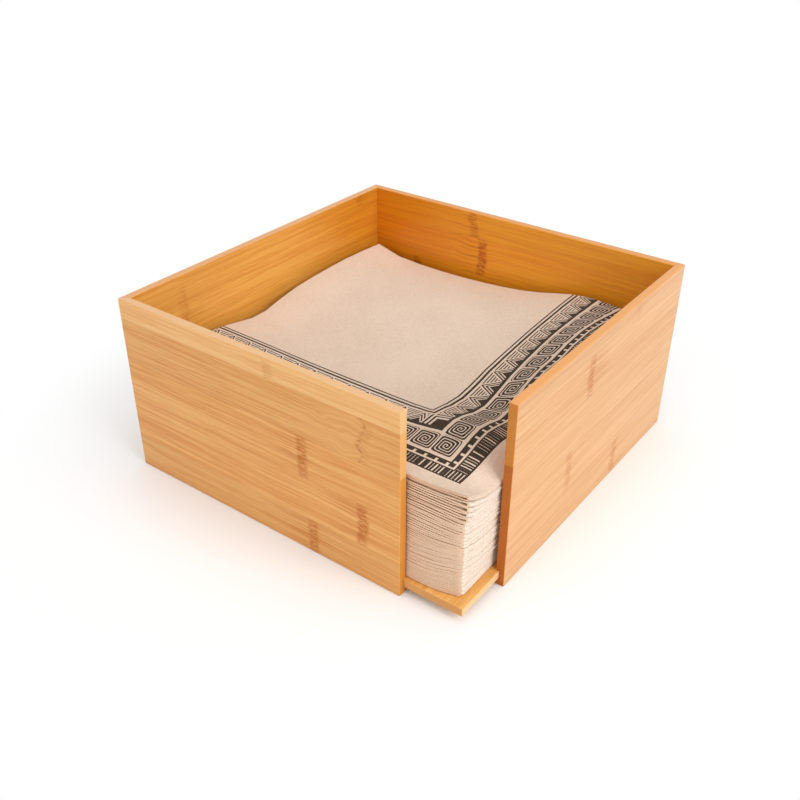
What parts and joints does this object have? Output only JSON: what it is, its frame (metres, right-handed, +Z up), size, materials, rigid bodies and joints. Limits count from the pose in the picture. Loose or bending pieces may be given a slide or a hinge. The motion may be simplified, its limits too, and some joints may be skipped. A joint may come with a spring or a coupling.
{
  "type": "napkin holder",
  "caption": "Square open-topped bamboo napkin tray with one open corner for taking napkins, laminated mitred walls, a grooved-in base, and a stack of folded paper napkins.",
  "frame": {"origin": "on the surface that the tray stands on, under the middle of its square outline", "axes": "+Z up; the open corner is at -X -Y; the left wall is along -X, the front wall along -Y, the back wall along +Y and the right wall along +X"},
  "size_m": [0.18, 0.18, 0.086],
  "materials": {
    "wall_bamboo": "satin",
    "base_bamboo": "satin",
    "plain_napkin": "matte",
    "printed_napkin": "matte"
  },
  "bodies": {
    "tray": {"back_wall_strip_1": "wall_bamboo", "back_wall_strip_2": "wall_bamboo", "back_wall_strip_3": "wall_bamboo", "back_wall_strip_4": "wall_bamboo", "back_wall_strip_5": "wall_bamboo", "base_strip_1": "base_bamboo", "base_strip_2": "base_bamboo", "base_strip_3": "base_bamboo", "base_strip_4": "base_bamboo", "base_strip_5": "base_bamboo", "base_strip_6": "base_bamboo", "base_strip_7": "base_bamboo", "base_strip_8": "base_bamboo", "base_strip_9": "base_bamboo", "front_wall_strip_1": "wall_bamboo", "front_wall_strip_2": "wall_bamboo", "front_wall_strip_3": "wall_bamboo", "front_wall_strip_4": "wall_bamboo", "front_wall_strip_5": "wall_bamboo", "left_wall_strip_1": "wall_bamboo", "left_wall_strip_2": "wall_bamboo", "left_wall_strip_3": "wall_bamboo", "left_wall_strip_4": "wall_bamboo", "left_wall_strip_5": "wall_bamboo", "right_wall_strip_1": "wall_bamboo", "right_wall_strip_2": "wall_bamboo", "right_wall_strip_3": "wall_bamboo", "right_wall_strip_4": "wall_bamboo", "right_wall_strip_5": "wall_bamboo"},
    "napkin_stack": {"napkin_01": "plain_napkin", "napkin_02": "plain_napkin", "napkin_03": "plain_napkin", "napkin_04": "plain_napkin", "napkin_05": "plain_napkin", "napkin_06": "plain_napkin", "napkin_07": "plain_napkin", "napkin_08": "plain_napkin", "napkin_09": "plain_napkin", "napkin_10": "plain_napkin", "napkin_11": "plain_napkin", "napkin_12": "plain_napkin", "napkin_13": "plain_napkin", "napkin_14": "plain_napkin", "napkin_15": "plain_napkin", "napkin_16": "plain_napkin", "napkin_17": "plain_napkin", "napkin_18": "plain_napkin", "napkin_19": "plain_napkin", "napkin_20": "plain_napkin", "napkin_21": "plain_napkin", "napkin_22": "plain_napkin", "napkin_23": "plain_napkin", "napkin_24": "plain_napkin", "napkin_25": "plain_napkin"},
    "top_napkin": {"top_napkin": "printed_napkin"}
  },
  "joints": [
    {"name": "stack_lift", "type": "slide", "parent": "tray", "child": "napkin_stack", "axis": [0, 0, 1], "range_m": [0, 0.085]},
    {"name": "top_napkin_lift", "type": "slide", "parent": "napkin_stack", "child": "top_napkin", "axis": [0, 0, 1], "range_m": [0, 0.045]}
  ]
}
